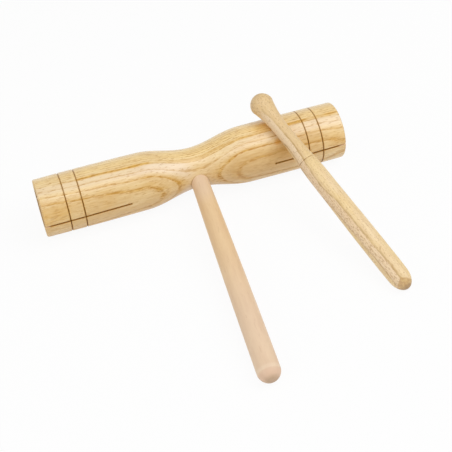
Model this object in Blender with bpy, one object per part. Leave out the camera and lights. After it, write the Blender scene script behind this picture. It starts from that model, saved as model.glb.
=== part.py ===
"""Two-tone wood block: a waisted turned block bored from both ends, the dowel handle glued into its
waist, and a loose turned beater that leans on the high-pitched half.

Metres, +Z up. The block lies along X with the low-pitched end at -X and the high-pitched end at +X.
The handle points to -Y. The origin is the bottom centre of the bounding box, on the table.
"""

import math

import bmesh
import bpy
from mathutils import Vector

# Tone block, measured along its axis from the middle of the waist
LOW_LENGTH = 0.1009
HIGH_LENGTH = 0.0991
WAIST_RADIUS = 0.01315
SHOULDER_RADIUS = 0.01855
BARREL_RISE = 0.00022
FLARE_LENGTH = 0.0352
RIM_ROUND = 0.0012

# Chambers and the saw kerfs that free their walls
BORE_RADIUS = 0.0115
MOUTH_CHAMFER = 0.0006
LOW_BORE_DEPTH = 0.0600
HIGH_BORE_DEPTH = 0.0550
KERF_WIDTH = 0.0013
LOW_KERF_LENGTH = 0.0551
HIGH_KERF_LENGTH = 0.0493
KERF_TURN = math.radians(6.85)
KERF_SKEW = math.radians(0.55)

# Scored rings near each end
RING_FROM_END = (0.0160, 0.0256)
RING_WIDTH = 0.0010
RING_DEPTH = 0.0006

# Handle, measured along its axis from the block's axis
HANDLE_FROM_WAIST = 0.0009
HANDLE_ROOT_AT = 0.0120
HANDLE_ROOT_RADIUS = 0.0056
HANDLE_END_RADIUS = 0.0070
HANDLE_ROUND_START = 0.1560
HANDLE_FLAT_RADIUS = 0.0025
HANDLE_LEAN = math.radians(3.0)
TENON_PAST_AXIS = 0.0060
TENON_CHAMFER = 0.0006

# Beater, measured along its axis from the tip of its head
HEAD_DOME = 0.0078
HEAD_RADIUS = 0.0077
NECK_AT = 0.0340
NECK_RADIUS = 0.0049
NECK_POWER = 2.7
GRIP_AT = 0.0720
GRIP_RADIUS = 0.00645
PALM_AT = 0.1200
PALM_RADIUS = 0.00685
BUTT_TAPER_AT = 0.1380
BUTT_AT = 0.1480
BUTT_RADIUS = 0.00665
BUTT_DOME = 0.0100
BEATER_RING_AT = 0.0564
BEATER_RING_WIDTH = 0.0006
BEATER_RING_DEPTH = 0.0003

# How the beater leans on the block
LEAN_FROM_WAIST = 0.0564
LEAN_AT = 0.0263
LEAN_SWING = math.radians(15.4)

FIT_GAP = 0.0003
BLOCK_STEPS = 60
STICK_STEPS = 40


def smooth_step(t):
    return (1 - math.cos(math.pi * t)) / 2


def wood(name, colour, roughness):
    material = bpy.data.materials.new(name)
    material.use_nodes = True
    shader = material.node_tree.nodes["Principled BSDF"]
    shader.inputs["Base Color"].default_value = (*colour, 1)
    shader.inputs["Roughness"].default_value = roughness
    shader.inputs["Metallic"].default_value = 0
    material.diffuse_color = (*colour, 1)
    return material


def turned(name, outline, steps, material):
    """A solid of revolution round X. The outline holds (x, radius) and both its ends lie on the axis."""
    mesh = bpy.data.meshes.new(name)
    work = bmesh.new()
    half_step = math.pi / steps
    spoke = Vector((0, math.sin(half_step), math.cos(half_step)))
    points = [work.verts.new(Vector((x, 0, 0)) + spoke * radius) for x, radius in outline]
    edges = [work.edges.new(pair) for pair in zip(points, points[1:])]
    bmesh.ops.spin(
        work, geom=points + edges, cent=(0, 0, 0), axis=(1, 0, 0), dvec=(0, 0, 0),
        angle=2 * math.pi, steps=steps, use_merge=True, use_duplicate=False,
    )
    bmesh.ops.remove_doubles(work, verts=work.verts, dist=1e-6)
    bmesh.ops.recalc_face_normals(work, faces=work.faces)
    work.to_mesh(mesh)
    work.free()
    mesh.shade_smooth()
    mesh.set_sharp_from_angle(angle=math.radians(32))
    mesh.materials.append(material)
    obj = bpy.data.objects.new(name, mesh)
    bpy.context.scene.collection.objects.link(obj)
    return obj


def cutter(name, mesh, block):
    """A hidden helper, held in the block's frame, that takes material out of the block."""
    obj = bpy.data.objects.new(name, mesh)
    bpy.context.scene.collection.objects.link(obj)
    obj.parent = block
    obj.hide_render = True
    obj.display_type = "WIRE"
    cut = block.modifiers.new(name, "BOOLEAN")
    cut.operation = "DIFFERENCE"
    cut.solver = "EXACT"
    cut.object = obj
    return obj


def outer_radius(x):
    """Radius of the turned outside at x: a cosine flare out of the waist, then a slight barrel."""
    along = abs(x)
    if along < FLARE_LENGTH:
        return WAIST_RADIUS + (SHOULDER_RADIUS - WAIST_RADIUS) * smooth_step(along / FLARE_LENGTH)
    length = HIGH_LENGTH if x > 0 else LOW_LENGTH
    along = (along - FLARE_LENGTH) / (length - FLARE_LENGTH)
    return SHOULDER_RADIUS + BARREL_RISE * math.sin(math.pi * along)


def half_outline(side, length, bore_depth):
    """One half of the block, from the centre of its chamber floor round the rim to the waist."""
    points = [
        (length - bore_depth, 0),
        (length - bore_depth, BORE_RADIUS),
        (length - MOUTH_CHAMFER, BORE_RADIUS),
        (length, BORE_RADIUS + MOUTH_CHAMFER),
    ]
    rim_x = length - RIM_ROUND
    rim_radius = outer_radius(side * rim_x) - RIM_ROUND
    for step in range(5):
        turn = math.pi / 2 * step / 4
        points.append((rim_x + RIM_ROUND * math.cos(turn), rim_radius + RIM_ROUND * math.sin(turn)))
    for from_end in RING_FROM_END:
        ring_x = length - from_end
        for offset, depth in ((0.5, 0), (0, RING_DEPTH), (-0.5, 0)):
            x = ring_x + offset * RING_WIDTH
            points.append((x, outer_radius(side * x) - depth))
    belly_from = length - RING_FROM_END[-1] - RING_WIDTH
    for step in range(1, 5):
        x = belly_from + (FLARE_LENGTH - belly_from) * step / 4
        points.append((x, outer_radius(side * x)))
    for step in range(1, 13):
        x = FLARE_LENGTH * (1 - step / 12)
        points.append((x, outer_radius(side * x)))
    return [(side * x, radius) for x, radius in points]


def cut_kerf(name, block, side, length, kerf_length):
    """A saw kerf through both walls, from kerf_length inside the end to past it.

    Both kerfs lie in one plane, turned up in front and running up a little towards the high end.
    """
    past_end = 0.004
    across = 2 * (SHOULDER_RADIUS + 0.004)
    mesh = bpy.data.meshes.new(name)
    work = bmesh.new()
    bmesh.ops.create_cube(work, size=1)
    bmesh.ops.scale(work, vec=(kerf_length + past_end, across, KERF_WIDTH), verts=work.verts)
    middle = side * (length - kerf_length + (kerf_length + past_end) / 2)
    bmesh.ops.translate(work, vec=(middle, 0, 0), verts=work.verts)
    work.to_mesh(mesh)
    work.free()
    cutter(name, mesh, block).rotation_euler = (-KERF_TURN, -KERF_SKEW, 0)


def handle_radius(along):
    """Parallel inside the block, then swelling along a parabola that is level at the rounded end."""
    share = max(0, along - HANDLE_ROOT_AT) / (HANDLE_ROUND_START - HANDLE_ROOT_AT)
    return HANDLE_END_RADIUS - (HANDLE_END_RADIUS - HANDLE_ROOT_RADIUS) * (1 - share) ** 2


def handle_outline():
    """From the tenon's inner end along the dowel to the small flat on its rounded end."""
    points = [
        (-TENON_PAST_AXIS, 0),
        (-TENON_PAST_AXIS, HANDLE_ROOT_RADIUS - TENON_CHAMFER),
        (TENON_CHAMFER - TENON_PAST_AXIS, HANDLE_ROOT_RADIUS),
        (HANDLE_ROOT_AT, HANDLE_ROOT_RADIUS),
    ]
    for step in range(1, 7):
        x = HANDLE_ROOT_AT + (HANDLE_ROUND_START - HANDLE_ROOT_AT) * step / 7
        points.append((x, handle_radius(x)))
    last_turn = math.acos(HANDLE_FLAT_RADIUS / HANDLE_END_RADIUS)
    for step in range(9):
        turn = last_turn * step / 8
        reach = HANDLE_ROUND_START + HANDLE_END_RADIUS * math.sin(turn)
        points.append((reach, HANDLE_END_RADIUS * math.cos(turn)))
    points.append((points[-1][0], 0))
    return points


def beater_radius(along):
    if along < HEAD_DOME:
        return HEAD_RADIUS * math.sqrt(max(0, 1 - (1 - along / HEAD_DOME) ** 2))
    if along < NECK_AT:
        share = (NECK_AT - along) / (NECK_AT - HEAD_DOME)
        return NECK_RADIUS + (HEAD_RADIUS - NECK_RADIUS) * share**NECK_POWER
    if along < GRIP_AT:
        share = smooth_step((along - NECK_AT) / (GRIP_AT - NECK_AT))
        return NECK_RADIUS + (GRIP_RADIUS - NECK_RADIUS) * share
    if along < PALM_AT:
        share = smooth_step((along - GRIP_AT) / (PALM_AT - GRIP_AT))
        return GRIP_RADIUS + (PALM_RADIUS - GRIP_RADIUS) * share
    if along < BUTT_TAPER_AT:
        return PALM_RADIUS
    if along < BUTT_AT:
        share = smooth_step((along - BUTT_TAPER_AT) / (BUTT_AT - BUTT_TAPER_AT) / 2)
        return PALM_RADIUS + 2 * (BUTT_RADIUS - PALM_RADIUS) * share
    return BUTT_RADIUS * math.sqrt(max(0, 1 - ((along - BUTT_AT) / BUTT_DOME) ** 2))


def beater_outline():
    """From the tip of the head to the end of the butt, measured from the point that leans on the block."""
    dome = [HEAD_DOME * (1 - math.cos(math.pi / 2 * step / 9)) for step in range(10)]
    cone = [HEAD_DOME + (NECK_AT - HEAD_DOME) * (step / 10) ** 1.4 for step in range(1, 10)]
    ring = [BEATER_RING_AT + offset * BEATER_RING_WIDTH for offset in (-0.5, 0, 0.5)]
    neck = [NECK_AT, 0.042, 0.049]
    grip = [0.062, 0.069, GRIP_AT, 0.086, 0.098, PALM_AT, BUTT_TAPER_AT, 0.142]
    butt = [BUTT_AT + BUTT_DOME * math.sin(math.pi / 2 * step / 9) for step in range(10)]
    points = []
    for along in dome + cone + neck + ring + grip + butt:
        depth = BEATER_RING_DEPTH if along == BEATER_RING_AT else 0
        points.append((along - LEAN_AT, beater_radius(along) - depth))
    points[0] = (points[0][0], 0)
    points[-1] = (points[-1][0], 0)
    return points


def block_axis_height():
    """Height of the block's axis when its belly lies on the table on a flat of the turned outside."""
    return (SHOULDER_RADIUS + BARREL_RISE) * math.cos(math.pi / BLOCK_STEPS)


def handle_direction():
    """The handle droops until its rounded end touches the table, and leans a little to the low end."""
    drop = (block_axis_height() - HANDLE_END_RADIUS) / HANDLE_ROUND_START
    ahead = math.sqrt(math.cos(HANDLE_LEAN) ** 2 - drop**2)
    return Vector((-math.sin(HANDLE_LEAN), -ahead, -drop))


def beater_place(tilt):
    """Point and direction of the beater's axis where it leans, for a contact tilt ahead of the top."""
    away = Vector((0, -math.sin(tilt), math.cos(tilt)))
    downhill = Vector((0, -math.cos(tilt), -math.sin(tilt)))
    reach = outer_radius(LEAN_FROM_WAIST) + FIT_GAP + beater_radius(LEAN_AT)
    point = Vector((LEAN_FROM_WAIST, 0, 0)) + away * reach
    along = Vector((math.sin(LEAN_SWING), 0, 0)) + downhill * math.cos(LEAN_SWING)
    return point, along


def butt_height(tilt):
    """Height of the beater's lowest point over the table."""
    point, along = beater_place(tilt)
    fall = math.sqrt(1 - along.z**2)
    lowest = math.inf
    for step in range(81):
        at = BUTT_TAPER_AT + (BUTT_AT + BUTT_DOME - BUTT_TAPER_AT) * step / 80
        axis_height = block_axis_height() + point.z + along.z * (at - LEAN_AT)
        lowest = min(lowest, axis_height - beater_radius(at) * fall)
    return lowest


def rest_tilt():
    """Contact tilt at which the butt just touches the table, by halving the interval."""
    low, high = 0, math.radians(40)
    for _ in range(40):
        middle = (low + high) / 2
        if butt_height(middle) > 0:
            low = middle
        else:
            high = middle
    return low


def build():
    for obj in list(bpy.data.objects):
        bpy.data.objects.remove(obj, do_unlink=True)

    block_wood = wood("block_wood", (0.80, 0.58, 0.31), 0.45)
    handle_wood = wood("handle_wood", (0.78, 0.57, 0.39), 0.50)
    beater_wood = wood("beater_wood", (0.85, 0.66, 0.38), 0.48)

    rest = bpy.data.objects.new("rest", None)
    bpy.context.scene.collection.objects.link(rest)
    axis_point = Vector((0, 0, block_axis_height()))

    low_half = half_outline(-1, LOW_LENGTH, LOW_BORE_DEPTH)
    high_half = half_outline(1, HIGH_LENGTH, HIGH_BORE_DEPTH)
    block = turned("tone_block", low_half + high_half[-2::-1], BLOCK_STEPS, block_wood)
    block.parent = rest
    block.location = axis_point
    cut_kerf("low_kerf", block, -1, LOW_LENGTH, LOW_KERF_LENGTH)
    cut_kerf("high_kerf", block, 1, HIGH_LENGTH, HIGH_KERF_LENGTH)

    along_handle = handle_direction()
    handle_turn = Vector((1, 0, 0)).rotation_difference(along_handle).to_euler()
    handle = turned("handle", handle_outline(), STICK_STEPS, handle_wood)
    handle.parent = rest
    handle.location = axis_point + Vector((HANDLE_FROM_WAIST, 0, 0))
    handle.rotation_euler = handle_turn

    socket_end = -TENON_PAST_AXIS - FIT_GAP
    socket_radius = HANDLE_ROOT_RADIUS + FIT_GAP
    socket_outline = [(socket_end, 0), (socket_end, socket_radius), (0.03, socket_radius), (0.03, 0)]
    socket = turned("socket_bore", socket_outline, STICK_STEPS, block_wood)
    socket_mesh = socket.data
    bpy.data.objects.remove(socket, do_unlink=True)
    socket = cutter("socket", socket_mesh, block)
    socket.location = (HANDLE_FROM_WAIST, 0, 0)
    socket.rotation_euler = handle_turn

    lean_point, along_beater = beater_place(rest_tilt())
    beater = turned("beater", beater_outline(), STICK_STEPS, beater_wood)
    beater.parent = rest
    beater.location = axis_point + lean_point
    beater.rotation_euler = Vector((1, 0, 0)).rotation_difference(along_beater).to_euler()

    bpy.context.view_layer.update()
    corners = []
    for obj in (block, handle, beater):
        corners += [obj.matrix_world @ vertex.co for vertex in obj.data.vertices]
    low = [min(corner[axis] for corner in corners) for axis in range(3)]
    high = [max(corner[axis] for corner in corners) for axis in range(3)]
    rest.location = (-(low[0] + high[0]) / 2, -(low[1] + high[1]) / 2, -low[2])
    bpy.context.view_layer.update()


build()
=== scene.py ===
"""Looks of the two-tone wood block: the turned block, its glued handle and its loose beater.

Metres, +Z up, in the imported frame. The block lies along X with its low-pitched end at -X, and the
handle points to -Y with its rounded end on the table. Grain is worked out in millimetres.
"""

import math

import bmesh
import bpy
from mathutils import Matrix, Vector


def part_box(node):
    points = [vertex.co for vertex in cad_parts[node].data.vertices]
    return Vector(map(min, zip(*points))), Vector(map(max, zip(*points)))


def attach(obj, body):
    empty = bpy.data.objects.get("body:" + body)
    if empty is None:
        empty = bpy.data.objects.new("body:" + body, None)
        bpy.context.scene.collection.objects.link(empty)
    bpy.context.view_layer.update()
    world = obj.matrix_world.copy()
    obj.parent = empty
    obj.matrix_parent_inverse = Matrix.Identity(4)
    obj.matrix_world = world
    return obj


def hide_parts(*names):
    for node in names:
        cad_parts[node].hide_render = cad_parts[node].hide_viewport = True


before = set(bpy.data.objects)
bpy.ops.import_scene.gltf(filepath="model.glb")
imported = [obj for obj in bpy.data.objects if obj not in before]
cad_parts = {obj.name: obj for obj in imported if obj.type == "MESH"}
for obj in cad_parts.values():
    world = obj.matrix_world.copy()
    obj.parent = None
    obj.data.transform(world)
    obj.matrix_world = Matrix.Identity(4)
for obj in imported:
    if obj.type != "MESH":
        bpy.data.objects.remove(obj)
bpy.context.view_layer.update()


# Tone block. One length of pale ash, turned between centres to two barrels and a slim waist, bored
# from both ends and sawn along each bore, so that the long half rings low and the short one high.
# The brown rings are cut with a chisel's corner and scorched with a wire; satin lacquer over all.

low_length, high_length = 0.1009, 0.0991
waist_radius, shoulder_radius, barrel_rise = 0.01315, 0.01855, 0.00022
flare_length = 0.0352
rim_round = 0.0012
bore_radius, mouth_chamfer = 0.0115, 0.0006
low_bore, high_bore = 0.0600, 0.0550
floor_round = 0.0008
ring_from_end = (0.0160, 0.0256)
ring_width, ring_depth, ring_lip = 0.0010, 0.0006, 0.00006
kerf_width = 0.0011
kerf_turn, kerf_skew = math.radians(6.85), math.radians(0.55)
low_kerf, high_kerf = 0.0551, 0.0493
block_flats, block_steps = 60, 192
floor_steps, bore_steps, round_steps, land_steps, belly_steps, flare_steps = 3, 8, 8, 5, 12, 32
quarter_turn = math.pi / 2
block_low, block_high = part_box("tone_block")
waist_middle = (block_low + block_high) / 2
waist_middle.x = block_low.x + low_length


def eased(share):
    """0 to 1 along half a cosine wave."""
    return (1 - math.cos(math.pi * share)) / 2


def stepped(start, end, steps):
    """Places from start to end in even steps, with both ends."""
    return [start + (end - start) * step / steps for step in range(steps + 1)]


def within_flats(radius, flats):
    """Radius of the round that fits inside a CAD piece turned with that many flats."""
    return radius * math.cos(math.pi / flats)


def block_radius(x):
    """Outside radius at x from the waist: a flare, then a slight barrel."""
    along = abs(x)
    if along < flare_length:
        return waist_radius + (shoulder_radius - waist_radius) * eased(along / flare_length)
    length = high_length if x > 0 else low_length
    share = (along - flare_length) / (length - flare_length)
    return shoulder_radius + barrel_rise * math.sin(math.pi * share)


def half_block(side, length, bore_depth):
    """Outline of one half, from the middle of its chamber's floor round the rim to the waist."""

    def skin(x, dip=0):
        return x, within_flats(block_radius(side * x), block_flats) - dip

    floor_at = length - bore_depth
    outline = [(floor_at, 0), (floor_at, bore_radius / 2)]
    for turn in stepped(0, quarter_turn, floor_steps):
        x = floor_at + floor_round * (1 - math.cos(turn))
        outline.append((x, bore_radius - floor_round * (1 - math.sin(turn))))
    bore_places = stepped(floor_at, length - mouth_chamfer, bore_steps)
    outline += [(x, bore_radius) for x in bore_places[1:]]
    outline.append((length, bore_radius + mouth_chamfer))
    edge, rim_radius = skin(length - rim_round, dip=rim_round)
    for turn in stepped(0, quarter_turn, round_steps):
        x = edge + rim_round * math.cos(turn)
        outline.append((x, rim_radius + rim_round * math.sin(turn)))
    for from_end in ring_from_end:
        ring_at = length - from_end
        half_ring = ring_width / 2 + ring_lip
        outline += [skin(x) for x in stepped(edge, ring_at + half_ring, land_steps)[1:]]
        for share in stepped(0, 1, round_steps):
            x = ring_at + ring_width * (0.5 - share)
            outline.append(skin(x, dip=ring_depth * eased(2 * share)))
        edge = ring_at - half_ring
        outline.append(skin(edge))
    outline += [skin(x) for x in stepped(edge, flare_length, belly_steps)[1:]]
    outline += [skin(x) for x in stepped(flare_length, 0, flare_steps)[1:]]
    return [(side * x, radius) for x, radius in outline]


def turned(outline, steps, place):
    """A bmesh turned round X from (along, radius) points and set in its place."""
    work = bmesh.new()
    points = [work.verts.new((along, 0, radius)) for along, radius in outline]
    edges = [work.edges.new(pair) for pair in zip(points, points[1:])]
    bmesh.ops.spin(
        work, geom=points + edges, cent=(0, 0, 0), axis=(1, 0, 0), dvec=(0, 0, 0),
        angle=2 * math.pi, steps=steps, use_merge=True, use_duplicate=False,
    )
    bmesh.ops.remove_doubles(work, verts=work.verts, dist=1e-6)
    bmesh.ops.recalc_face_normals(work, faces=work.faces)
    bmesh.ops.transform(work, matrix=place, verts=work.verts)
    return work


def shown(name, work):
    """The bmesh as an object of the scene, at the origin."""
    mesh = bpy.data.meshes.new(name)
    work.to_mesh(mesh)
    work.free()
    piece = bpy.data.objects.new(name, mesh)
    bpy.context.scene.collection.objects.link(piece)
    return piece


def carved(piece, tools):
    """Take each tool's volume out of the piece for good."""
    for tool in tools:
        cut = piece.modifiers.new(tool.name, "BOOLEAN")
        cut.operation = "DIFFERENCE"
        cut.solver = "EXACT"
        cut.object = tool
    depsgraph = bpy.context.evaluated_depsgraph_get()
    result = bpy.data.meshes.new_from_object(piece.evaluated_get(depsgraph))
    piece.modifiers.clear()
    blank = piece.data
    piece.data = result
    bpy.data.meshes.remove(blank)
    result.name = piece.name
    for tool in tools:
        bpy.data.objects.remove(tool, do_unlink=True)


def sanded(piece):
    """Shaded smooth, apart from the edges that sanding leaves crisp."""
    crisp_edge = math.radians(38)
    piece.data.shade_smooth()
    piece.data.set_sharp_from_angle(angle=crisp_edge)


low_half = half_block(-1, low_length, low_bore)
high_half = half_block(1, high_length, high_bore)
in_place = Matrix.Translation(waist_middle)
tone_block = shown("ash_block", turned(low_half + high_half[-2::-1], block_steps, in_place))

saw_across, saw_overrun = 0.05, 0.004
kerf_tilt = Matrix.Rotation(-kerf_skew, 4, "Y") @ Matrix.Rotation(-kerf_turn, 4, "X")
tools = []
for side, length, kerf in ((-1, low_length, low_kerf), (1, high_length, high_kerf)):
    saw = bmesh.new()
    bmesh.ops.create_cube(saw, size=1)
    bmesh.ops.scale(saw, vec=(kerf + saw_overrun, saw_across, kerf_width), verts=saw.verts)
    saw_middle = side * (length + (saw_overrun - kerf) / 2)
    bmesh.ops.translate(saw, vec=(saw_middle, 0, 0), verts=saw.verts)
    bmesh.ops.transform(saw, matrix=in_place @ kerf_tilt, verts=saw.verts)
    tools.append(shown("saw", saw))

# The socket is drilled into the waist a hair wider than the handle's root. The handle leans a little
# to the low end and droops until its rounded end touches the table.
handle_from_waist, handle_lean = 0.0009, math.radians(3.0)
handle_root_radius, handle_end_radius, handle_round_start = 0.0056, 0.0070, 0.1560
axis_height = within_flats(shoulder_radius + barrel_rise, block_flats)
handle_drop = (axis_height - handle_end_radius) / handle_round_start
handle_ahead = math.sqrt(math.cos(handle_lean) ** 2 - handle_drop**2)
handle_along = Vector((-math.sin(handle_lean), -handle_ahead, -handle_drop))
handle_turn = Vector((1, 0, 0)).rotation_difference(handle_along).to_matrix().to_4x4()
handle_place = Matrix.Translation(waist_middle + Vector((handle_from_waist, 0, 0))) @ handle_turn
socket_depth, drill_reach, drill_steps = 0.0063, 0.03, 96
drill = [(-socket_depth, 0), (-socket_depth, handle_root_radius)]
drill += [(drill_reach, handle_root_radius), (drill_reach, 0)]
tools.append(shown("drill", turned(drill, drill_steps, handle_place)))
carved(tone_block, tools)
sanded(tone_block)


def added(tree, kind, inputs, **settings):
    """A node with its settings made and each named input set to a value or linked to a socket."""
    made = tree.nodes.new("ShaderNode" + kind)
    for name, value in settings.items():
        setattr(made, name, value)
    for key, value in inputs.items():
        if isinstance(value, bpy.types.NodeSocket):
            tree.links.new(value, made.inputs[key])
        else:
            made.inputs[key].default_value = value
    return made


def reckoned(tree, operation, *values):
    """One step of arithmetic on numbers and sockets."""
    return added(tree, "Math", dict(enumerate(values)), operation=operation).outputs[0]


def product(tree, first, *others):
    """All the values multiplied together."""
    for other in others:
        first = reckoned(tree, "MULTIPLY", first, other)
    return first


def between(tree, value, low, high):
    """0 at low and 1 at high, eased between them; low may be the greater."""
    spread = {0: value, 1: low, 2: high}
    return added(tree, "MapRange", spread, interpolation_type="SMOOTHSTEP").outputs[0]


def ranged(tree, value, low, high):
    """A share from 0 to 1 spread evenly from low to high."""
    return added(tree, "MapRange", {0: value, 3: low, 4: high}).outputs[0]


def off(tree, value, middle):
    """How far a value lies from a middle, to either side."""
    return reckoned(tree, "ABSOLUTE", reckoned(tree, "SUBTRACT", value, middle))


def noise(tree, place, along, across, detail=2.0, roughness=0.5):
    """Noise over a place in millimetres, with its cells per millimetre along and across the fibre."""
    cells = {0: place, 1: (along, across, across)}
    spot = added(tree, "VectorMath", cells, operation="MULTIPLY").outputs[0]
    grain = {"Vector": spot, "Scale": 1.0, "Detail": detail, "Roughness": roughness}
    return added(tree, "TexNoise", grain).outputs[0]


def stained(tree, share, under, over):
    """Colour under, stained with colour over by a share."""
    inputs = {0: share, 6: under, 7: over}
    return added(tree, "Mix", inputs, data_type="RGBA").outputs[2]


def drawn(tree, value, points, kind="EASE"):
    """A height read off a drawn line of (at, height) points, which is level outside them."""
    places, heights = zip(*points)
    low, high = min(heights), max(heights)
    share = added(tree, "MapRange", {0: value, 1: places[0], 2: places[-1]}).outputs[0]
    ramp = added(tree, "ValToRGB", {0: share})
    ramp.color_ramp.interpolation = kind
    stops = ramp.color_ramp.elements
    while len(stops) < len(points):
        stops.new(0.5)
    for stop, (at, height) in zip(stops, points):
        level = (height - low) / (high - low)
        stop.position = (at - places[0]) / (places[-1] - places[0])
        stop.color = (level, level, level, 1)
    return ranged(tree, ramp.outputs[0], low, high)


def effect(name, takes, gives):
    """An empty node group with its named inputs and outputs."""
    group = bpy.data.node_groups.new(name, "ShaderNodeTree")
    for socket, kind in takes.items():
        group.interface.new_socket(socket, in_out="INPUT", socket_type="NodeSocket" + kind)
    for socket in gives:
        group.interface.new_socket(socket, in_out="OUTPUT", socket_type="NodeSocketFloat")
    taken = group.nodes.new("NodeGroupInput").outputs
    given = group.nodes.new("NodeGroupOutput").inputs
    return group, taken, given


def applied(tree, group, **inputs):
    """The outputs of a node group placed in a material."""
    return added(tree, "Group", inputs, node_tree=group).outputs


def new_finish(name):
    """A new material with its node tree and its shader."""
    material = bpy.data.materials.new(name)
    material.use_nodes = True
    return material, material.node_tree, material.node_tree.nodes["Principled BSDF"]


def in_wood(tree, lay):
    """Place in the wood in millimetres, X along the fibre, for wood that lies as the matrix says."""
    inputs = {
        "Vector": added(tree, "TexCoord", {}).outputs["Object"],
        "Location": lay.translation, "Rotation": lay.to_euler(), "Scale": (0.001, 0.001, 0.001),
    }
    return added(tree, "Mapping", inputs, vector_type="TEXTURE").outputs[0]


# Fine streaks, broad soft patches and short open pores that run with the fibre, which is the place's X
fibres, taken, given = effect("fibres", {"Place": "Vector"}, ("Streak", "Patch", "Pore"))
place = taken["Place"]
streak = between(fibres, noise(fibres, place, 0.06, 1.5, 4, 0.65), 0.32, 0.68)
fibres.links.new(streak, given["Streak"])
patch = between(fibres, noise(fibres, place, 0.04, 0.18, 3, 0.55), 0.34, 0.66)
fibres.links.new(patch, given["Patch"])
fibres.links.new(noise(fibres, place, 0.26, 1.15), given["Pore"])

# Growth layers: each year darkens to a broken brown line of open pores and then starts pale again
takes = {"Place": "Vector", "Year": "Float", "Wander": "Float"}
layers, taken, given = effect("growth_layers", takes, ("Haze", "Line"))
place = taken["Place"]
broad = reckoned(layers, "SUBTRACT", noise(layers, place, 0.018, 0.09), 0.5)
close = reckoned(layers, "SUBTRACT", noise(layers, place, 0.14, 0.8), 0.5)
wander = reckoned(layers, "MULTIPLY_ADD", close, 0.55, broad)
wander = reckoned(layers, "MULTIPLY_ADD", wander, taken["Wander"], taken["Year"])
season = reckoned(layers, "FRACT", wander)
haze = drawn(layers, season, [
    (0, 0.4), (0.06, 0), (0.35, 0), (0.70, 0.45), (0.90, 1), (0.96, 1), (1, 0.4),
])
breaks = between(layers, noise(layers, place, 0.07, 0.6, 3, 0.6), 0.30, 0.66)
layers.links.new(product(layers, haze, ranged(layers, breaks, 0.25, 1.0)), given["Haze"])
line = drawn(layers, season, [(0, 0.4), (0.04, 0), (0.74, 0), (0.90, 1), (0.97, 1), (1, 0.4)])
dashes = between(layers, noise(layers, place, 0.26, 1.4, 2, 0.6), 0.41, 0.57)
layers.links.new(product(layers, line, dashes), given["Line"])

# The year's layers are sheets, bowed a little, that are counted from the back of the block to its front
block_wood, tree, shader = new_finish("lacquered_ash")
grain_turn, layer_bow = math.radians(6.5), 0.008
block_lay = Matrix.Translation((0, waist_middle.y, waist_middle.z))
block_lay = block_lay @ Matrix.Rotation(-grain_turn, 4, "X")
place = in_wood(tree, block_lay)
x, y, z = added(tree, "SeparateXYZ", {0: place}).outputs
from_middle = reckoned(tree, "ABSOLUTE", x)
level = reckoned(tree, "SUBTRACT", product(tree, z, z, layer_bow), y)
drift = drawn(tree, x, [(-100, 2.3), (-69, 0.95), (-37, 0.1), (0, 0), (84, 0), (100, -0.8)])
depth = reckoned(tree, "ADD", level, drift)
year = drawn(tree, depth, [
    (-20, -14), (1.0, -7), (2.3, -6), (3.7, -5), (5.2, -4), (6.8, -3), (8.6, -2), (12.1, -1),
    (15.0, 0), (17.7, 1), (21, 1.8),
], "LINEAR")
fibre = applied(tree, fibres, Place=place)
growth = applied(tree, layers, Place=place, Year=year, Wander=0.3)

# Pale and honey wood in streaks and patches; darker and warmer towards the front, partly heart colour
# and partly painted shade, and painted shade under the long half
cream, straw, honey = (0.955, 0.745, 0.41, 1), (1.0, 0.745, 0.335, 1), (0.755, 0.505, 0.215, 1)
heart_and_shade = between(tree, level, 7, 17)
heart_and_shade = product(tree, heart_and_shade, drawn(tree, x, [(-100, 0.5), (-75, 1), (80, 1), (90, 0)]))
tone = reckoned(tree, "MULTIPLY_ADD", fibre["Patch"], 0.40, product(tree, fibre["Streak"], 0.50))
tone = reckoned(tree, "ADD", tone, ranged(tree, heart_and_shade, -0.12, 0.32))
underside_shade = drawn(tree, z, [(-10, 0.45), (3, 0)])
underside_shade = product(tree, underside_shade, drawn(tree, x, [(18, 1), (36, 0)]))
tone = reckoned(tree, "ADD", tone, underside_shade)
pale = stained(tree, drawn(tree, depth, [(3, 1), (8, 0)]), cream, straw)
colour = stained(tree, tone, pale, honey)
# A pale buff band along the layers at middle height, partly paler wood and partly a painted sheen of
# the lacquer, faint at the waist
pale_sheen_buff = (0.89, 0.72, 0.54, 1)
pale_sheen_band = drawn(tree, depth, [(7.5, 0), (9.5, 1), (12, 1), (14.5, 0)])
along_pale_sheen = drawn(tree, x, [
    (-45, 0.4), (-30, 0.65), (-10, 0.65), (2, 0.1), (14, 0.1), (28, 0.25), (84, 0.4),
])
colour = stained(tree, product(tree, pale_sheen_band, along_pale_sheen), colour, pale_sheen_buff)

# Brown layer lines and pores, strongest on the front where the layers are cut slanting
late_brown, pore_brown = (0.70, 0.39, 0.05, 1), (0.48, 0.205, 0.010, 1)
strength = drawn(tree, depth, [
    (-20, 0.5), (0, 0.45), (5.2, 0.5), (8.3, 0.55), (11.5, 0.4), (13.0, 0.45), (14.5, 1), (20, 1),
])
along_layers = drawn(tree, x, [
    (-100, 0.6), (-80, 0.75), (-10, 0.8), (15, 1), (60, 1), (82, 0.6), (100, 0.5),
])
strength = product(tree, strength, along_layers, 0.95)
colour = stained(tree, product(tree, growth["Haze"], strength), colour, late_brown)
colour = stained(tree, product(tree, growth["Line"], strength), colour, pore_brown)
open_pores = reckoned(tree, "MULTIPLY_ADD", growth["Haze"], 0.10, fibre["Pore"])
open_pores = between(tree, open_pores, 0.58, 0.68)
pores_seen = drawn(tree, level, [(-4, 0.4), (5, 0.5), (12, 0.4)])
colour = stained(tree, product(tree, open_pores, pores_seen), colour, pore_brown)

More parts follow.
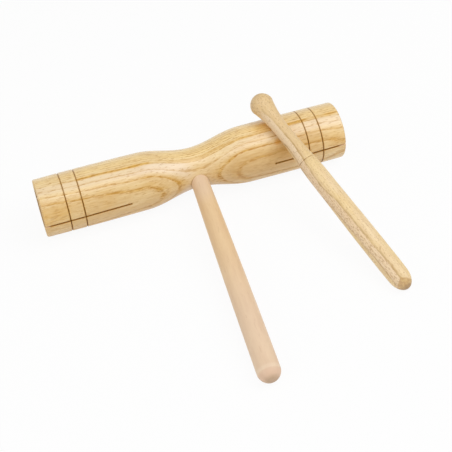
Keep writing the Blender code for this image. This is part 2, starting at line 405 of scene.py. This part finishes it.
# Where the front of the block comes near the pith the wood is flushed with orange in places
flush_orange, shade_tan, fleck_brown = (0.76, 0.44, 0.10, 1), (0.62, 0.37, 0.13, 1), (0.47, 0.21, 0.025, 1)
along_flush = drawn(tree, x, [
    (-100, 1), (-88, 0.9), (-80, 0.1), (-66, 0.2), (-60, 0.5), (-52, 0.1), (20, 0.05), (40, 0.4),
    (52, 1), (62, 0.6), (74, 0.3), (84, 0.3), (92, 0.8), (100, 0.5),
])
above_pith = drawn(tree, z, [(-4, 0), (3, 0.9), (7, 1), (12, 0.35), (15, 0)])
mottled = between(tree, noise(tree, place, 0.08, 0.30, 3, 0.6), 0.30, 0.62)
flush = product(tree, between(tree, depth, 12.0, 15.0), along_flush, above_pith)
flush = product(tree, flush, ranged(tree, mottled, 0.4, 1))
colour = stained(tree, product(tree, flush, 0.7), colour, flush_orange)
# A tan patch on the lower front of the short half is painted shade
along_tan = drawn(tree, x, [(8, 0), (24, 1), (58, 1), (72, 0)])
across_tan = drawn(tree, z, [(-9, 0), (-3, 1), (9, 1), (13, 0)])
toward_tan = product(tree, between(tree, depth, 14.4, 16.2), along_tan, across_tan)
toward_tan = product(tree, toward_tan, ranged(tree, mottled, 0.6, 1))
colour = stained(tree, product(tree, toward_tan, 0.55), colour, shade_tan)
flecked = between(tree, noise(tree, place, 0.16, 0.75, 3, 0.6), 0.50, 0.64)
colour = stained(tree, product(tree, flush, flecked, 0.6), colour, fleck_brown)

# A ruddy patch lies under the leaning beater, partly orange wood and partly the beater's painted
# shadow, with a small knot in front of it
ruddy_shade_brown, knot_brown, knot_at = (0.82, 0.47, 0.10, 1), (0.72, 0.34, 0.05, 1), (54.5, -13.3, 13.0)
ruddy_and_shade = drawn(tree, x, [(38, 0), (49, 1), (58, 1), (64, 0)])
ruddy_and_shade = product(tree, ruddy_and_shade, drawn(tree, level, [(-6, 0), (0, 1), (7, 0.8), (9, 0)]))
colour = stained(tree, product(tree, ruddy_and_shade, ranged(tree, mottled, 0.3, 0.6)), colour, ruddy_shade_brown)
from_knot = added(tree, "VectorMath", {0: place, 1: knot_at}, operation="DISTANCE").outputs["Value"]
colour = stained(tree, product(tree, between(tree, from_knot, 3.0, 0.6), 0.6), colour, knot_brown)

# A mineral streak along one year's layer comes and goes along the block
streak_amber, streak_brown = (0.82, 0.46, 0.03, 1), (0.45, 0.18, 0.006, 1)
along_streak = drawn(tree, x, [
    (-100, 0.05), (-76, 0.15), (-73, 0.85), (-56, 0.7), (-44, 0.8), (-39, 1), (-30, 0.7), (-25, 0.15),
    (0, 0.25), (20, 0.45), (36, 0.5), (46, 0.15), (62, 0.3), (65, 1), (75, 0.9), (80, 0.3), (88, 0.35),
    (92, 0.8), (96, 0.8), (100, 0.4),
])
streak_level = drawn(tree, from_middle, [
    (0, 7.3), (19, 7.4), (29, 8.1), (42, 8.0), (70, 7.35), (100, 7.3),
])
ragged = reckoned(tree, "SUBTRACT", noise(tree, place, 0.12, 0.9, 3, 0.6), 0.5)
from_streak = reckoned(tree, "MULTIPLY_ADD", ragged, 1.4, off(tree, level, streak_level))
glow = product(tree, between(tree, from_streak, 1.5, 0.1), along_streak)
colour = stained(tree, product(tree, glow, 0.8), colour, streak_amber)
streak_breaks = between(tree, noise(tree, place, 0.30, 1.3, 2, 0.6), 0.40, 0.58)
core = product(tree, between(tree, from_streak, 0.85, 0.15), along_streak)
core = product(tree, core, ranged(tree, streak_breaks, 0.25, 1))
colour = stained(tree, product(tree, core, 0.95), colour, streak_brown)

# Bare end grain on the rims; the bored chamber is painted dark as shade, broken and darkest at the top
# of its mouth
rim_brown, chamber_shade_brown = (0.72, 0.50, 0.29, 1), (0.36, 0.20, 0.09, 1)
mouth_shade_brown = (0.050, 0.030, 0.018, 1)
from_axis = reckoned(tree, "SQRT", reckoned(tree, "MULTIPLY_ADD", y, y, product(tree, z, z)))
end_at, mouth_radius = 1000 * block_high.x, 1000 * (bore_radius + mouth_chamfer)
rim = between(tree, from_middle, end_at - 0.8, end_at - 0.1)
colour = stained(tree, product(tree, rim, 0.35), colour, rim_brown)
chamber = between(tree, from_axis, mouth_radius + 0.4, mouth_radius + 0.1)
colour = stained(tree, product(tree, chamber, 0.75), colour, chamber_shade_brown)
mouth_shade_breaks = between(tree, noise(tree, place, 0.5, 0.55, 1), 0.38, 0.52)
mouth_shade_breaks = product(tree, mouth_shade_breaks, drawn(tree, z, [(-7, 0), (-1, 0.5), (3, 0.7), (5, 1), (12, 1)]))
mouth_shade = product(tree, chamber, between(tree, from_middle, end_at - 1.4, end_at - 0.8), mouth_shade_breaks)
colour = stained(tree, mouth_shade, colour, mouth_shade_brown)

# The kerf's walls are raw from the saw, painted dark brown inside as shade and pale near the mouth as
# painted light from the open end
kerf_shade_brown, kerf_light_pale = (0.58, 0.29, 0.06, 1), (0.90, 0.68, 0.44, 1)
kerf_normal = Matrix.Rotation(grain_turn, 3, "X") @ kerf_tilt.to_3x3() @ Vector((0, 0, 1))
from_kerf = added(tree, "VectorMath", {0: place, 1: kerf_normal}, operation="DOT_PRODUCT")
from_kerf = reckoned(tree, "ABSOLUTE", from_kerf.outputs["Value"])
half_kerf, past_kerf, waist_at = 500 * kerf_width, 0.3, 1000 * waist_middle.x
low_end = waist_at - 1000 * (low_length - low_kerf) + past_kerf
high_end = waist_at + 1000 * (high_length - high_kerf) - past_kerf
along_kerf = reckoned(
    tree, "MAXIMUM",
    reckoned(tree, "LESS_THAN", x, low_end), reckoned(tree, "GREATER_THAN", x, high_end),
)
sawn = product(tree, between(tree, from_kerf, half_kerf + 0.09, half_kerf + 0.02), along_kerf)
near_mouth = reckoned(tree, "MULTIPLY_ADD", x, 0.01, from_middle)
near_mouth = between(tree, near_mouth, end_at - 5.0, end_at - 2.5)
colour = stained(tree, sawn, colour, stained(tree, near_mouth, kerf_shade_brown, kerf_light_pale))

# The rings are scorched unevenly and have a singed edge; the scorch is painted fainter towards the top
# as painted light
singed_orange, scorched_brown = (0.66, 0.34, 0.03, 1), (0.22, 0.080, 0.004, 1)
outside = between(tree, from_axis, 14.5, 15.5)
rings_at = [end_at - 1000 * from_end for from_end in ring_from_end]
from_ring = reckoned(tree, "MINIMUM", *(off(tree, from_middle, ring_at) for ring_at in rings_at))
scorch_and_top_light = ranged(tree, between(tree, noise(tree, place, 0.3, 0.35), 0.25, 0.65), 0.7, 1)
scorch_and_top_light = product(tree, scorch_and_top_light, outside, drawn(tree, z, [(-4, 1), (8, 0.95), (16, 0.6)]))
singed = product(tree, between(tree, from_ring, 0.95, 0.40), scorch_and_top_light, 0.6)
colour = stained(tree, singed, colour, singed_orange)
ring = product(tree, between(tree, from_ring, 0.50, 0.18), scorch_and_top_light)
colour = stained(tree, ring, colour, scorched_brown)

# A thin brown line round the handle where it enters the waist, partly glue and partly painted shade,
# heaviest on the low side and below
glue_and_shade_brown, root_radius = (0.36, 0.19, 0.06, 1), 1000 * handle_root_radius
across_handle = {0: in_wood(tree, handle_place), 1: (0, 1, 1)}
across_handle = added(tree, "VectorMath", across_handle, operation="MULTIPLY").outputs[0]
from_handle = added(tree, "VectorMath", {0: across_handle}, operation="LENGTH").outputs["Value"]
in_front = reckoned(tree, "LESS_THAN", y, -2)
glued_and_shaded = product(tree, between(tree, from_handle, root_radius + 1.1, root_radius + 0.1), in_front)
glued_and_shaded = product(tree, glued_and_shaded, drawn(tree, x, [(-6, 0.75), (1, 0.2), (7, 0.4)]))
glued_and_shaded = product(tree, glued_and_shaded, drawn(tree, z, [(0, 1), (4, 0.5)]))
colour = stained(tree, glued_and_shaded, colour, glue_and_shade_brown)
tree.links.new(colour, shader.inputs["Base Color"])

# Satin lacquer lies on the outside, thinner underneath, and the pores stay open through it
bare = reckoned(tree, "MAXIMUM", reckoned(tree, "MAXIMUM", rim, chamber), sawn)
lacquer = product(tree, ranged(tree, bare, 1, 0), drawn(tree, z, [(-14, 0.2), (-2, 1)]))
tree.links.new(lacquer, shader.inputs["Coat Weight"])
shader.inputs["Coat Roughness"].default_value = 0.27
shader.inputs["Specular IOR Level"].default_value = 0.15
dull = reckoned(tree, "MAXIMUM", bare, ring)
dull = reckoned(tree, "MAXIMUM", product(tree, fibre["Streak"], 0.5), dull)
tree.links.new(ranged(tree, dull, 0.32, 0.70), shader.inputs["Roughness"])
pore_depth = 0.0002
pits = reckoned(tree, "ADD", open_pores, growth["Line"])
relief = reckoned(tree, "SUBTRACT", product(tree, fibre["Streak"], 0.6), pits)
bump = added(tree, "Bump", {"Strength": 0.15, "Distance": pore_depth, "Height": relief})
tree.links.new(bump.outputs[0], shader.inputs["Normal"])
tone_block.data.materials.clear()
tone_block.data.materials.append(block_wood)
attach(tone_block, "block")
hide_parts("tone_block")


# Handle. A turned dowel of close-grained beech, a little thicker towards its rounded free end,
# sanded and left without stain, and glued into the socket drilled in the block's waist.

handle_root_at = 0.0120
handle_flat_radius = 0.0025
tenon_past_axis, tenon_chamfer = 0.0060, 0.0006
stick_flats, stick_steps = 40, 128
swell_steps, dome_steps = 48, 24
handle_outline = [(-tenon_past_axis, 0), (-tenon_past_axis, handle_root_radius - tenon_chamfer)]
handle_outline.append((tenon_chamfer - tenon_past_axis, handle_root_radius))
for share in stepped(0, 1, swell_steps):
    along = handle_root_at + (handle_round_start - handle_root_at) * share
    swell = (handle_end_radius - handle_root_radius) * (1 - (1 - share) ** 2)
    handle_outline.append((along, handle_root_radius + swell))
last_turn = math.acos(handle_flat_radius / handle_end_radius)
for turn in stepped(0, last_turn, dome_steps)[1:]:
    along = handle_round_start + handle_end_radius * math.sin(turn)
    handle_outline.append((along, handle_end_radius * math.cos(turn)))
handle_outline.append((handle_outline[-1][0], 0))
handle_outline = [(along, within_flats(radius, stick_flats)) for along, radius in handle_outline]
handle = shown("beech_handle", turned(handle_outline, stick_steps, handle_place))
sanded(handle)

handle_wood, tree, shader = new_finish("sanded_beech")
place = in_wood(tree, handle_place)
x = added(tree, "SeparateXYZ", {0: place}).outputs["X"]
fibre = applied(tree, fibres, Place=place)
tone = reckoned(tree, "MULTIPLY_ADD", fibre["Patch"], 0.45, product(tree, fibre["Streak"], 0.2))
mottled = between(tree, noise(tree, place, 0.12, 0.45, 3, 0.6), 0.32, 0.68)
tone = reckoned(tree, "MULTIPLY_ADD", mottled, 0.3, tone)
pink, pink_shade, fleck_brown = (0.84, 0.63, 0.43, 1), (0.77, 0.55, 0.37, 1), (0.55, 0.32, 0.16, 1)
yellow, yellow_shade = (0.85, 0.61, 0.34, 1), (0.78, 0.53, 0.29, 1)
yellowing = drawn(tree, x, [(12, 0.1), (24, 0.3), (38, 1), (60, 0.9), (130, 0)])
pale = stained(tree, yellowing, pink, yellow)
shade = stained(tree, yellowing, pink_shade, yellow_shade)
colour = stained(tree, tone, pale, shade)
flecks = between(tree, noise(tree, place, 0.20, 1.1, 1), 0.62, 0.74)
colour = stained(tree, product(tree, flecks, 0.18), colour, fleck_brown)

# The rounded end is sanded smooth: a painted highlight where the rounding starts, then end grain that
# darkens to the tip, partly as painted shade
highlight_pale, end_pink, tip_grain_and_shade_brown = (0.92, 0.74, 0.56, 1), (0.78, 0.53, 0.37, 1), (0.48, 0.32, 0.18, 1)
round_at = 1000 * handle_round_start
edge = drawn(tree, x, [(round_at - 1.5, 0), (round_at, 1), (round_at + 1, 1), (round_at + 2, 0)])
colour = stained(tree, product(tree, edge, 0.35), colour, highlight_pale)
end_grain = between(tree, x, round_at + 1, round_at + 3)
colour = stained(tree, product(tree, end_grain, 0.7), colour, end_pink)
tip = between(tree, x, round_at + 4.4, round_at + 6.6)
colour = stained(tree, product(tree, tip, 0.55), colour, tip_grain_and_shade_brown)
tree.links.new(colour, shader.inputs["Base Color"])
tree.links.new(ranged(tree, fibre["Streak"], 0.42, 0.56), shader.inputs["Roughness"])
bump = added(tree, "Bump", {"Strength": 0.06, "Distance": pore_depth, "Height": fibre["Streak"]})
tree.links.new(bump.outputs[0], shader.inputs["Normal"])
handle.data.materials.append(handle_wood)
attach(handle, "block")
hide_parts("handle")


# Beater. A loose stick turned in one piece from ash: a domed striking head, a slim springy neck, one
# scored ring and a swelling grip with a rounded butt. It leans on the short half of the block.

head_dome, head_radius = 0.0078, 0.0077
neck_at, neck_radius, neck_power = 0.0340, 0.0049, 2.7
grip_at, grip_radius = 0.0720, 0.00645
palm_at, palm_radius = 0.1200, 0.00685
butt_taper_at, butt_at, butt_radius, butt_dome = 0.1380, 0.1480, 0.00665, 0.0100
beater_ring_at, beater_ring_width, beater_ring_depth = 0.0564, 0.0006, 0.0003
neck_steps, ring_steps, grip_steps = 32, 8, 40
lean_at, lean_from_waist, lean_gap = 0.0263, 0.0564, 0.0003
lean_tilt, lean_swing, stick_roll = math.radians(17.216), math.radians(15.4), math.radians(17.05)


def beater_radius(along):
    """Radius at a distance from the tip of the head."""
    if along < head_dome:
        return head_radius * math.sqrt(max(0, 1 - (1 - along / head_dome) ** 2))
    if along < neck_at:
        share = (neck_at - along) / (neck_at - head_dome)
        return neck_radius + (head_radius - neck_radius) * share**neck_power
    if along < grip_at:
        share = eased((along - neck_at) / (grip_at - neck_at))
        return neck_radius + (grip_radius - neck_radius) * share
    if along < palm_at:
        share = eased((along - grip_at) / (palm_at - grip_at))
        return grip_radius + (palm_radius - grip_radius) * share
    if along < butt_taper_at:
        return palm_radius
    if along < butt_at:
        share = eased((along - butt_taper_at) / (butt_at - butt_taper_at) / 2)
        return palm_radius + 2 * (butt_radius - palm_radius) * share
    return butt_radius * math.sqrt(max(0, 1 - ((along - butt_at) / butt_dome) ** 2))


half_ring = beater_ring_width / 2
ring_start, ring_end = beater_ring_at - half_ring, beater_ring_at + half_ring
dome_turns = stepped(0, quarter_turn, dome_steps)
stations = [head_dome * (1 - math.cos(turn)) for turn in dome_turns]
stations += stepped(head_dome, ring_start, neck_steps)[1:-1]
stations += stepped(ring_start, ring_end, ring_steps)
stations += stepped(ring_end, butt_at, grip_steps)[1:-1]
stations += [butt_at + butt_dome * math.sin(turn) for turn in dome_turns]
beater_outline = []
for along in stations:
    dip = beater_ring_depth * (1 - eased(min(1, abs(along - beater_ring_at) / half_ring)))
    radius = within_flats(beater_radius(along) - dip, stick_flats)
    beater_outline.append((along - lean_at, radius))
beater_outline[0] = (beater_outline[0][0], 0)
beater_outline[-1] = (beater_outline[-1][0], 0)

# It touches the block ahead of its top, runs downhill to the table and swings towards the high end
away = Vector((0, -math.sin(lean_tilt), math.cos(lean_tilt)))
downhill = Vector((0, -math.cos(lean_tilt), -math.sin(lean_tilt)))
lean_reach = block_radius(lean_from_waist) + lean_gap + beater_radius(lean_at)
lean_point = waist_middle + Vector((lean_from_waist, 0, 0)) + away * lean_reach
beater_along = Vector((math.sin(lean_swing), 0, 0)) + downhill * math.cos(lean_swing)
beater_turn = beater_along.to_track_quat("X", "Z").to_matrix().to_4x4()
beater_turn = beater_turn @ Matrix.Rotation(stick_roll, 4, "X")
beater_place = Matrix.Translation(lean_point) @ beater_turn
beater = shown("ash_beater", turned(beater_outline, stick_steps, beater_place))
sanded(beater)

# Yellow wood, tan at the neck, with one pink and porous year along the stick between two brown lines
beater_wood, tree, shader = new_finish("sanded_ash")
place = in_wood(tree, beater_place)
x, y, _ = added(tree, "SeparateXYZ", {0: place}).outputs
fibre = applied(tree, fibres, Place=place)
from_tip = reckoned(tree, "ADD", x, 1000 * lean_at)
swing = drawn(tree, from_tip, [
    (0, 3.9), (14.5, 3.3), (22, 1.8), (32, 1.3), (44, 1.1), (51, 1.7), (56, 2.2), (61, 2.9), (69, 3.6),
    (75, 4.0), (80, 3.6), (92, 2.2), (103, 2.0), (125, 1.7), (134, 1.25), (158, 1.2),
])
depth = reckoned(tree, "SUBTRACT", product(tree, y, -1), swing)
layer_width = drawn(tree, from_tip, [(0, 4.2), (78, 3.0), (92, 3.9), (158, 4.1)])
year = reckoned(tree, "DIVIDE", depth, layer_width)
yellow = stained(tree, fibre["Streak"], (0.90, 0.69, 0.37, 1), (0.81, 0.58, 0.27, 1))
buff = stained(tree, fibre["Streak"], (0.90, 0.70, 0.43, 1), (0.81, 0.59, 0.32, 1))
pink = stained(tree, fibre["Streak"], (0.93, 0.73, 0.52, 1), (0.85, 0.63, 0.41, 1))
neck_tan, neck_pink, line_brown = (0.73, 0.50, 0.24, 1), (0.90, 0.71, 0.49, 1), (0.47, 0.28, 0.09, 1)
vessel_brown, ring_brown = (0.52, 0.31, 0.13, 1), (0.33, 0.17, 0.045, 1)
colour = stained(tree, fibre["Patch"], yellow, buff)
toward_tan = drawn(tree, from_tip, [(0, 0.9), (14, 0.8), (30, 0.85), (46, 0.6), (64, 0)])
colour = stained(tree, product(tree, toward_tan, 0.7), colour, neck_tan)
porous = product(tree, between(tree, year, -0.03, 0.05), between(tree, year, 1.06, 0.96))
porous = product(tree, porous, between(tree, from_tip, 10, 18))
porous_tone = stained(tree, drawn(tree, from_tip, [(46, 0.7), (66, 0)]), pink, neck_pink)
colour = stained(tree, product(tree, porous, 0.65), colour, porous_tone)
line = drawn(tree, year, [
    (-0.9, 0), (-0.3, 0.2), (-0.05, 1), (0.05, 0.8), (0.13, 0), (0.88, 0), (1.0, 0.85), (1.09, 0),
])
along_line = drawn(tree, from_tip, [
    (8, 0), (15, 0.4), (22, 0.35), (32, 0.6), (38, 1), (56, 1), (76, 0.9), (92, 0.7), (120, 0.8),
    (152, 0.9), (154, 0),
])
worn = between(tree, noise(tree, place, 0.20, 1.0, 3, 0.6), 0.32, 0.58)
line_seen = product(tree, line, along_line, ranged(tree, worn, 0.2, 0.9))
colour = stained(tree, line_seen, colour, line_brown)
vessels = product(tree, porous, between(tree, from_tip, 52, 90), 0.08)
vessels = reckoned(tree, "ADD", vessels, noise(tree, place, 0.7, 1.7, 1))
vessels = between(tree, vessels, 0.59, 0.69)
colour = stained(tree, product(tree, vessels, 0.6), colour, vessel_brown)
ring = between(tree, off(tree, from_tip, 1000 * beater_ring_at), 0.36, 0.12)
ring = product(tree, ring, between(tree, noise(tree, place, 0.2, 0.5), 0.34, 0.56))
colour = stained(tree, product(tree, ring, 0.75), colour, ring_brown)

# End grain shows as dark dots on the domed head and as a brown patch on the butt
dot_brown, edge_brown = (0.46, 0.29, 0.14, 1), (0.34, 0.20, 0.11, 1)
dots = between(tree, noise(tree, place, 0.8, 1.0, 1), 0.58, 0.68)
dots = product(tree, dots, between(tree, from_tip, 16, 11))
colour = stained(tree, product(tree, dots, 0.5), colour, dot_brown)
butt_end = 1000 * (butt_at + butt_dome)
butt = reckoned(tree, "MULTIPLY_ADD", off(tree, y, -1), -0.7, from_tip)
butt = between(tree, butt, butt_end - 7.6, butt_end - 6.4)
butt_tone = between(tree, noise(tree, place, 0.6, 0.6), 0.38, 0.62)
butt_brown = stained(tree, butt_tone, (0.66, 0.44, 0.17, 1), (0.52, 0.29, 0.11, 1))
colour = stained(tree, product(tree, butt, 0.75), colour, butt_brown)
butt_edge = between(tree, from_tip, butt_end - 3.0, butt_end - 0.2)
colour = stained(tree, product(tree, butt_edge, 0.6), colour, edge_brown)
tree.links.new(colour, shader.inputs["Base Color"])
tree.links.new(ranged(tree, fibre["Streak"], 0.40, 0.54), shader.inputs["Roughness"])
pits = reckoned(tree, "ADD", vessels, line)
relief = reckoned(tree, "SUBTRACT", product(tree, fibre["Streak"], 0.6), pits)
bump = added(tree, "Bump", {"Strength": 0.10, "Distance": pore_depth, "Height": relief})
tree.links.new(bump.outputs[0], shader.inputs["Normal"])
beater.data.materials.append(beater_wood)
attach(beater, "beater")
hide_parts("beater")


# Table and light. A white table top seen against white, a large soft lamp to the right, a weaker one
# to the left, a strip above for the lacquer's sheen and an even white room, so that colours come out
# about as they are written.

table_half, table_drop = 3, 0.0001
white, table_grey, table_glow, room_light = (1, 1, 1, 1), (0.88, 0.88, 0.88, 1), 0.93, 0.46


def seen_directly(tree):
    """1 for what the camera sees, straight or in a gloss or a glass, and 0 for light on the object."""
    path = added(tree, "LightPath", {}).outputs
    mirrored = reckoned(tree, "MAXIMUM", path["Is Glossy Ray"], path["Is Transmission Ray"])
    return reckoned(tree, "MAXIMUM", path["Is Camera Ray"], mirrored)


top = bmesh.new()
bmesh.ops.create_grid(top, x_segments=1, y_segments=1, size=table_half)
bmesh.ops.translate(top, vec=(0, 0, -table_drop), verts=top.verts)
table = shown("table_top", top)
table_white, tree, shader = new_finish("table_white")
shader.inputs["Base Color"].default_value = table_grey
shader.inputs["Roughness"].default_value = 0.9
shader.inputs["Specular IOR Level"].default_value = 0.0
glow = added(tree, "Emission", {"Color": white, "Strength": 1.0}).outputs[0]
share = product(tree, seen_directly(tree), table_glow)
surface = added(tree, "MixShader", {0: share, 1: shader.outputs[0], 2: glow}).outputs[0]
tree.links.new(surface, tree.nodes["Material Output"].inputs["Surface"])
table.data.materials.append(table_white)

room = bpy.data.worlds.new("white_room")
bpy.context.scene.world = room
room.use_nodes = True
tree = room.node_tree
background = tree.nodes["Background"]
background.inputs["Color"].default_value = white
strength = ranged(tree, seen_directly(tree), room_light, 1.0)
tree.links.new(strength, background.inputs["Strength"])

lamp_reach = 0.9
for name, lamp_side, wide, deep, watts in (
    ("key", (0.64, -0.26, 0.72), 0.5, 0.5, 1.9),
    ("fill", (-0.80, -0.25, 0.55), 0.7, 0.7, 1.8),
    ("strip", (0.16, -0.17, 0.97), 0.9, 0.34, 2.2),
):
    lamp_side = Vector(lamp_side).normalized()
    lamp_data = bpy.data.lights.new(name, "AREA")
    lamp_data.shape = "RECTANGLE"
    lamp_data.size = wide
    lamp_data.size_y = deep
    lamp_data.energy = watts
    lamp = bpy.data.objects.new(name, lamp_data)
    lamp.location = lamp_side * lamp_reach
    lamp.rotation_mode = "QUATERNION"
    lamp.rotation_quaternion = lamp_side.to_track_quat("Z", "Y")
    bpy.context.scene.collection.objects.link(lamp)


# Camera. Above and in front of the handle, a little to the low-pitched side, with a long lens. It
# looks at a point on the table beside the handle and is rolled a little.

camera_aim, camera_distance = Vector((0.0089, 0.03233, 0)), 0.63474
azimuth, elevation, roll = math.radians(17.04), math.radians(47.95), math.radians(-2.93)
picture_width, focal_length, sensor_width = 452, 1000, 36
camera_data = bpy.data.cameras.new("camera")
camera_data.sensor_width = sensor_width
camera_data.lens = sensor_width * focal_length / picture_width
camera = bpy.data.objects.new("camera", camera_data)
camera_turn = Matrix.Rotation(-azimuth, 4, "Z") @ Matrix.Rotation(quarter_turn - elevation, 4, "X")
camera_turn = camera_turn @ Matrix.Rotation(roll, 4, "Z")
camera_back = Matrix.Translation((0, 0, camera_distance))
camera.matrix_world = Matrix.Translation(camera_aim) @ camera_turn @ camera_back
bpy.context.scene.collection.objects.link(camera)
bpy.context.scene.camera = camera
bpy.context.scene.view_settings.view_transform = "Standard"
